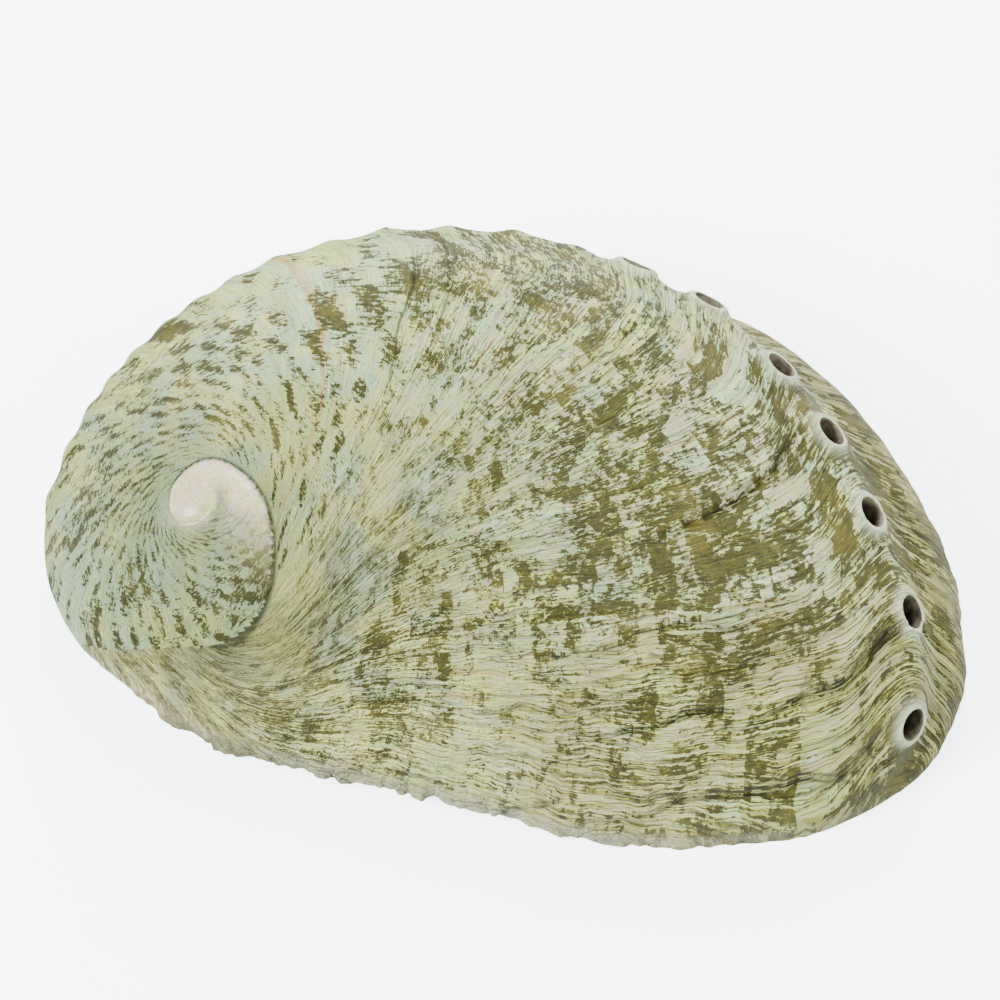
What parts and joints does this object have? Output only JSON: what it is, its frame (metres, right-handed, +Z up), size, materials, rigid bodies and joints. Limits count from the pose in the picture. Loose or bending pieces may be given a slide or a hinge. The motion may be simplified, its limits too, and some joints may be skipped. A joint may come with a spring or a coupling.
{
  "type": "abalone shell",
  "caption": "Ear-shaped abalone shell with a low spire, a curved row of open holes and a thin outer lip, hollow beneath.",
  "frame": {"origin": "middle of the bounding box's base, on the surface the shell lies on", "axes": "+X along the length towards the newest hole, +Y towards the steep side with the holes, +Z up"},
  "size_m": [0.09, 0.0668, 0.024],
  "materials": {
    "shell": "weathered, green-grey with olive-brown spots, satin"
  },
  "bodies": {
    "root": {"shell": "shell"}
  },
  "joints": []
}
